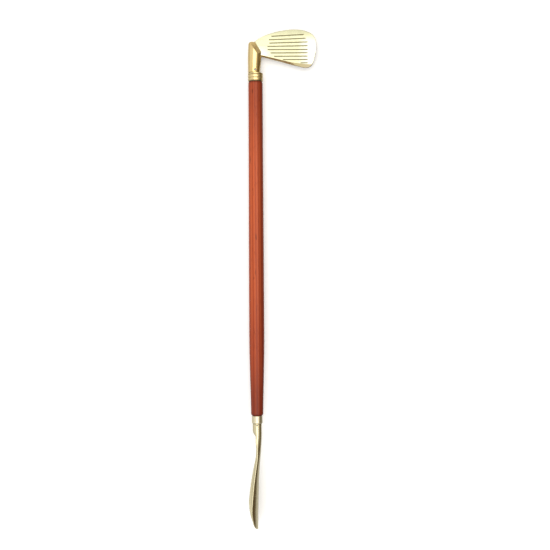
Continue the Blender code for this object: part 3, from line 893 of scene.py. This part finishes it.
def hosel():
    """The turned socket of the casting, well rounded at its top and slimmer at its foot."""
    top, foot = HOSEL_TOP_RADIUS, HOSEL_FOOT_RADIUS
    corners = [
        (0.0, HOSEL_HEIGHT, 0.0),
        (top, HOSEL_HEIGHT, 1.9 * MM),
        (top, 22.0 * MM, 40.0 * MM),
        (top - 0.15 * MM, 16.0 * MM, 30.0 * MM),
        (foot, 0.0, 0.35 * MM),
        (0.0, 0.0, 0.0),
    ]
    mesh = lathe("hosel", fillet(corners, 8), 128)
    mesh.transform(Matrix.Translation((HOSEL_SHIFT, 0.0, 0.0)) @ Matrix.Rotation(HOSEL_LEAN, 4, "Y"))
    return mesh


def mitre_wedge():
    """Cuts the front of the hosel down along the seam, with a facet that steepens away from its top.

    It reaches a little behind the face, inside the casting, so that the facet meets the face cleanly.
    """
    gentle, steep = FACET_SLOPES
    top_x, top_z = SEAM_TOP
    foot_x, foot_z = SEAM_FOOT
    length = math.hypot(foot_x - top_x, foot_z - top_z)
    along = ((foot_x - top_x) / length, (foot_z - top_z) / length)
    inward = (along[1], -along[0])
    far = -30 * MM
    first, spacing, count = -0.75, 0.1, 25  # stations as shares of the seam's length
    rings = []
    for step in range(count):
        t = first + spacing * step
        slope = math.radians(gentle + (steep - gentle) * smoothstep(-0.15, 0.45, t))
        x = top_x + along[0] * length * t
        z = top_z + along[1] * length * t
        ring = []
        for depth, reach in ((-1.0, None), (8.0, None), (8.0, far), (-1.0, far)):
            shift = depth * MM / math.tan(slope) if reach is None else reach
            ring.append((x + inward[0] * shift, -FACE_FRONT - depth * MM, z + inward[1] * shift))
        rings.append(ring)
    return loft("mitre_wedge", rings)


def groove_lines():
    """Each groove as (x and height of its toe end, length, fan angle); the last two stop short."""
    full_rows, shortening = 6, 2.2 * MM
    lines = []
    for row, start in enumerate(GROOVE_STARTS):
        fanned = max(0, row - PARALLEL_ROWS)
        end = GROOVE_END - shortening * max(0, row - full_rows)
        height = GROOVE_FIRST + GROOVE_PITCH * row + GROOVE_FLARE * fanned
        lines.append((end, height, end - start, GROOVE_FAN * fanned))
    return lines


def scoring():
    """The grooves of the face: bars with sloping sides, parallel first and then fanned to the sole."""
    mouth, bottom, end_slope, proud = 1.1, 0.55, 0.4 * MM, 0.3 * MM
    work = bmesh.new()
    for end, height, length, fan in groove_lines():
        made = bmesh.ops.create_cube(work, size=1.0)["verts"]
        for vert in made:
            inside = vert.co.y > 0
            x = (vert.co.x - 0.5) * length - (end_slope if inside else 0.0) * math.copysign(1, vert.co.x)
            z = vert.co.z * GROOVE_WIDTH * (bottom if inside else mouth)
            vert.co = (
                end + x * math.cos(fan) - z * math.sin(fan),
                -FACE_FRONT + (GROOVE_DEPTH if inside else -proud),
                height + x * math.sin(fan) + z * math.cos(fan),
            )
    bmesh.ops.recalc_face_normals(work, faces=work.faces)
    return mesh_of("scoring", work)


def mark_face(mesh):
    """Attributes: "satin" for the finish on the face, half of it on the chamfer, and a mask for painted
    shade in the grooves.
    """
    satin = mesh.attributes.new("satin", "FLOAT", "POINT")
    groove_shade = mesh.attributes.new("groove_shade", "FLOAT", "POINT")
    lines = groove_lines()
    for vert, face, shade_value in zip(mesh.vertices, satin.data, groove_shade.data):
        x, y, z = vert.co
        if y < -FACE_FRONT - 0.15 * MM or y > 0.0:
            continue
        tilt = vert.normal.y
        face.value = 1.0 - 0.5 * smoothstep(*CHAMFER_TILT, tilt) - 0.5 * smoothstep(*SIDE_TILT, tilt)
        if y > -FACE_FRONT + 1.5 * GROOVE_DEPTH:
            continue
        for end, height, length, fan in lines:
            back = (end - x) / math.cos(fan)
            if -0.5 * MM < back < length + 0.5 * MM:
                off = abs(z - height + (end - x) * math.tan(fan))
                # painted shade: the mask is strongest in the middle of each groove
                shade_value.value = max(shade_value.value, 1.0 - smoothstep(*GROOVE_SHADE_SPREAD, off))
                face.value = max(face.value, shade_value.value)


def ground_block():
    """Everything under the ground plane, so that the pad on the iron's back lies flat."""
    width, length, thickness = 0.2, 0.4, 0.02
    work = bmesh.new()
    bmesh.ops.create_cube(work, size=1.0)
    bmesh.ops.scale(work, vec=(width, length, thickness), verts=work.verts)
    bmesh.ops.translate(work, vec=(0.0, SEAM.y, -thickness / 2), verts=work.verts)
    mesh = mesh_of("ground_block", work)
    mesh.transform(LAY.inverted())
    return mesh


def iron_plate():
    """The casting without its hosel, with rounded edges and a chamfered topline."""
    limit = math.radians(50)
    rounding = {"width": EDGE_ROUND, "segments": 4, "limit_method": "ANGLE", "angle_limit": limit}
    blank = place("iron_blank", iron_outline(), COLLAR_TOP)
    plate = carved(blank, [("DIFFERENCE", back_relief(), COLLAR_TOP)], [("BEVEL", rounding)])
    return carved(place("plate_blank", plate, COLLAR_TOP), [("DIFFERENCE", topline_chamfer(), COLLAR_TOP)])


def club_head(material):
    """Plate and hosel in one casting, scored, bored, trimmed flat on its pad and softly rounded."""
    plate = iron_plate()
    socket = carved(place("hosel_blank", hosel(), COLLAR_TOP), [("DIFFERENCE", mitre_wedge(), COLLAR_TOP)])
    bore = drill("bore", HEAD_STUD_RADIUS + GAP, HEAD_BORE_DEPTH, -OVERCUT)
    near, far = HEAD_STUD_RADIUS - OVERCUT, HOSEL_TOP_RADIUS
    hole = pin_drill("pin_hole", HOSEL_PIN_RADIUS + GAP, near, far, HOSEL_PIN_HEIGHT)
    cuts = [
        ("UNION", socket, COLLAR_TOP),
        ("DIFFERENCE", scoring(), COLLAR_TOP),
        ("DIFFERENCE", bore, COLLAR_TOP),
        ("DIFFERENCE", hole, COLLAR_TOP),
        ("DIFFERENCE", ground_block(), 0.0),
    ]
    voxel = 0.25 * MM if FULL_DETAIL else 0.4 * MM
    fine = [
        ("REMESH", {"mode": "VOXEL", "voxel_size": voxel, "use_smooth_shade": True}),
        ("SMOOTH", {"factor": 0.5, "iterations": 6}),
    ]
    mesh = carved(place("head_blank", plate, COLLAR_TOP), cuts, fine)
    mark_face(mesh)
    return piece("iron_head", mesh, COLLAR_TOP, "head", "polished_brass", material, "club_head")


# ------------------------------------------------------------------ stage


def floor_paper(name):
    """A seamless white sweep that glows a little for the camera; its bounce light fades to the right."""
    m = Nodes(name)
    fine = m.noise(m.mapped(), scale=900.0, detail=3.0, roughness=0.6)
    m.shade(Base_Color=m.mix(fine, (0.90, 0.90, 0.90), (0.93, 0.93, 0.92)), Roughness=0.85)
    m.shade(Specular_IOR_Level=0.1, Normal=m.bump(fine, 0.03 * MM, 0.2))
    m.shade(Emission_Color=(1.0, 1.0, 1.0), Emission_Strength=FLOOR_GLOW)
    x, _, _ = m.split()
    bounce = m.add("ShaderNodeBsdfDiffuse")
    m.link(m.mix(m.spread(x, *BOUNCE_FADE), *FLOOR_BOUNCE), bounce.inputs["Color"])
    rays = m.add("ShaderNodeLightPath")
    choice = m.add("ShaderNodeMixShader")
    m.link(rays.outputs["Is Camera Ray"], choice.inputs[0])
    m.link(bounce.outputs[0], choice.inputs[1])
    m.link(m.shader.outputs[0], choice.inputs[2])
    m.link(choice.outputs[0], m.tree.nodes["Material Output"].inputs["Surface"])
    return m.material


def floor():
    work = bmesh.new()
    bmesh.ops.create_grid(work, x_segments=2, y_segments=2, size=FLOOR_HALF)
    plane = add_object("floor", mesh_of("floor", work))
    plane.location.z = -FLOOR_DROP
    plane.data.materials.append(floor_paper("white_sweep"))


def key_light():
    """A large softbox overhead in two panels, the one over the blade narrower and softer."""
    for name, x, y, width, length, radiance in SOFTBOXES:
        light = bpy.data.lights.new(name, "AREA")
        light.shape = "RECTANGLE"
        light.size = width
        light.size_y = length
        light.energy = radiance * math.pi * width * length
        light.color = SOFTBOX_COLOUR
        lamp = add_object(name, light)
        lamp.location = (x, y, SOFTBOX_HEIGHT)
        lamp.visible_camera = False


def sky():
    """Light from the left, a dark and warm room to the right; the camera itself sees plain white."""
    world = bpy.data.worlds.new("studio")
    bpy.context.scene.world = world
    world.use_nodes = True
    nodes, links = world.node_tree.nodes, world.node_tree.links
    nodes.clear()
    coordinates = nodes.new("ShaderNodeTexCoord")
    split = nodes.new("ShaderNodeSeparateXYZ")
    across = nodes.new("ShaderNodeMapRange")
    ramp = nodes.new("ShaderNodeValToRGB")
    seen = nodes.new("ShaderNodeBackground")
    lit = nodes.new("ShaderNodeBackground")
    path = nodes.new("ShaderNodeLightPath")
    mix = nodes.new("ShaderNodeMixShader")
    output = nodes.new("ShaderNodeOutputWorld")
    across.inputs["From Min"].default_value = -1.0
    seen.inputs["Color"].default_value = (1.0, 1.0, 1.0, 1.0)
    fill_ramp(ramp.color_ramp, [(position, (level, level**1.12, level**1.35)) for position, level in SKY])
    links.new(coordinates.outputs["Generated"], split.inputs[0])
    links.new(split.outputs["X"], across.inputs["Value"])
    links.new(across.outputs["Result"], ramp.inputs["Fac"])
    links.new(ramp.outputs["Color"], lit.inputs["Color"])
    links.new(path.outputs["Is Camera Ray"], mix.inputs["Fac"])
    links.new(lit.outputs["Background"], mix.inputs[1])
    links.new(seen.outputs["Background"], mix.inputs[2])
    links.new(mix.outputs["Shader"], output.inputs["Surface"])


def camera():
    """Straight down, with the shoehorn left of the middle and turned a third of a degree."""
    data = bpy.data.cameras.new("overhead")
    data.sensor_width = SENSOR_WIDTH
    data.lens = SENSOR_WIDTH * CAMERA_DISTANCE / VIEW_WIDTH
    data.clip_start, data.clip_end = 0.05, 20.0
    lens = add_object("overhead", data)
    lens.location = SEAM + Vector((*CAMERA_OFFSET, CAMERA_DISTANCE))
    lens.rotation_euler.z = CAMERA_TURN
    bpy.context.scene.camera = lens
    bpy.context.scene.view_settings.view_transform = "Standard"


# ------------------------------------------------------------------ everything


def build():
    golden = iron_brass("golden_brass", (0.84, 0.64, 0.30), (0.80, 0.58, 0.24), 0.13)
    pale = plain_brass("pale_brass", (0.80, 0.73, 0.53), (0.76, 0.68, 0.46), 0.32)
    blade_brass = plain_brass("blade_brass", (0.74, 0.67, 0.45), (0.70, 0.61, 0.38), 0.19)
    collar_brass = plain_brass("collar_brass", (0.82, 0.65, 0.34), (0.78, 0.59, 0.28), 0.20)
    dark_steel = steel("dark_steel")
    wood_shaft(lacquered_wood("stained_wood"))
    studs(dark_steel)
    inserts(collar_brass)
    ribbed_collar(collar_brass)
    lower_ferrule(pale)
    hosel_pin(dark_steel)
    neck_pin(dark_steel)
    shoehorn_blade(blade_brass)
    club_head(golden)
    floor()
    key_light()
    sky()
    camera()


build()
